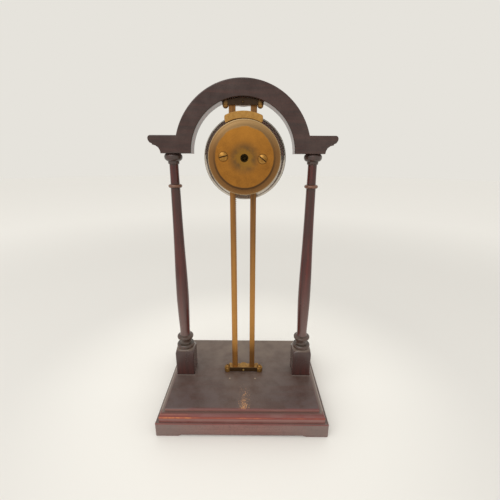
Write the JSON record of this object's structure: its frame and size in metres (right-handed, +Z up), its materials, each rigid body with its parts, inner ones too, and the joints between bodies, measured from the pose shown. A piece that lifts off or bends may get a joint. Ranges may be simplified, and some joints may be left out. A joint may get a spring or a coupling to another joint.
{
  "type": "rack clock",
  "caption": "Gravity rack clock: a drum clock that sinks by its own weight down a toothed brass bar and a plain bar, in a turned wooden stand with an arch.",
  "frame": {"origin": "under the middle of the base, on the surface it stands on", "axes": "+Z up, -Y the way the dial faces, +Y the back cover's side, which the picture shows"},
  "size_m": [0.1328, 0.1002, 0.255],
  "materials": {
    "mahogany": "worn polish",
    "brass": "aged, mottled",
    "nickel": "polished nickel plate",
    "steel": "satin",
    "blued_steel": "blued",
    "glass": "clear",
    "dial_enamel": "enamelled, satin"
  },
  "bodies": {
    "stand": {"base_plinth": "mahogany", "base_top_board": "mahogany", "arch": "mahogany", "column_right": "mahogany", "column_left": "mahogany", "column_screw_right": "steel", "column_screw_left": "steel", "top_bracket": "brass", "bottom_bracket": "brass", "top_bracket_pin": "steel", "bottom_bracket_pin": "steel", "top_bracket_screw_right": "brass", "top_bracket_screw_left": "brass", "bottom_bracket_screw_right": "brass", "bottom_bracket_screw_left": "brass", "rack_bar": "brass", "guide_bar": "brass"},
    "drum": {"drum_case": "nickel", "front_bezel": "nickel", "bezel_glass": "glass", "dial": "dial_enamel", "back_cover": "brass", "cover_screw_right": "brass", "cover_screw_left": "brass", "guide_bridge": "brass", "bridge_post_right": "brass", "bridge_post_left": "brass", "front_plate": "brass", "middle_plate": "brass", "back_plate": "brass", "pillar_1": "brass", "pillar_2": "brass", "pillar_3": "brass", "case_pillar_1": "brass", "case_pillar_2": "brass", "case_pillar_3": "brass", "upper_guide_shoe": "brass", "lower_guide_shoe": "brass", "rack_shoe": "brass"},
    "main_arbor": {"main_arbor": "steel", "great_wheel": "brass", "ratchet_wheel": "steel", "click": "steel"},
    "centre_arbor": {"centre_arbor": "steel", "centre_wheel": "brass", "cannon_pinion": "steel", "minute_hand": "blued_steel"},
    "minute_wheel": {"minute_wheel": "brass"},
    "hour_wheel": {"hour_wheel": "brass", "hour_hand": "blued_steel"},
    "third_arbor": {"third_arbor": "steel", "third_wheel": "brass"},
    "fourth_arbor": {"fourth_arbor": "steel", "fourth_wheel": "brass"},
    "escape_arbor": {"escape_arbor": "steel", "escape_wheel": "steel"},
    "pallet_lever": {"pallet_lever": "steel"},
    "balance": {"balance_staff": "steel", "balance_wheel": "brass", "hairspring": "blued_steel"}
  },
  "joints": [
    {"name": "drum_slide", "type": "slide", "parent": "stand", "child": "drum", "axis": [0, 0, 1], "range_m": [-0.148, 0.0025]},
    {"name": "main_spin", "type": "hinge", "parent": "drum", "child": "main_arbor", "pos_m": [0.00255, 0, 0.19238], "axis": [0, 1, 0], "range_deg": [-2828, 49]},
    {"name": "centre_spin", "type": "hinge", "parent": "drum", "child": "centre_arbor", "pos_m": [-0.0012, 0, 0.2043], "axis": [0, 1, 0], "range_deg": [-192, 11308]},
    {"name": "minute_wheel_spin", "type": "hinge", "parent": "drum", "child": "minute_wheel", "pos_m": [-0.0012, 0, 0.2118], "axis": [0, 1, 0], "range_deg": [-3770, 65]},
    {"name": "hour_spin", "type": "hinge", "parent": "drum", "child": "hour_wheel", "pos_m": [-0.0012, 0, 0.2043], "axis": [0, 1, 0], "range_deg": [-17, 944]},
    {"name": "third_spin", "type": "hinge", "parent": "drum", "child": "third_arbor", "pos_m": [-0.01135, 0, 0.20061], "axis": [0, 1, 0], "range_deg": [-90452, 1529]},
    {"name": "fourth_spin", "type": "hinge", "parent": "drum", "child": "fourth_arbor", "pos_m": [-0.01052, 0, 0.21009], "axis": [0, 1, 0], "continuous": true},
    {"name": "escape_spin", "type": "hinge", "parent": "drum", "child": "escape_arbor", "pos_m": [-0.00587, 0, 0.21673], "axis": [0, 1, 0], "continuous": true},
    {"name": "pallet_rock", "type": "hinge", "parent": "drum", "child": "pallet_lever", "pos_m": [-0.00024, 0, 0.21624], "axis": [0, 1, 0], "range_deg": [-5, 5]},
    {"name": "balance_swing", "type": "hinge", "parent": "drum", "child": "balance", "pos_m": [0.00652, 0, 0.21378], "axis": [0, 1, 0], "range_deg": [-220, 220], "stiffness_Nm_per_rad": 0.00001}
  ],
  "couplings": [
    {"joint": "main_spin", "follows": "drum_slide", "rad_per_m": 333.33},
    {"joint": "centre_spin", "follows": "drum_slide", "rad_per_m": -1333.3},
    {"joint": "minute_wheel_spin", "follows": "drum_slide", "rad_per_m": 444.44},
    {"joint": "hour_spin", "follows": "drum_slide", "rad_per_m": -111.11},
    {"joint": "third_spin", "follows": "drum_slide", "rad_per_m": 10667},
    {"joint": "escape_spin", "follows": "fourth_spin", "ratio": -8}
  ]
}
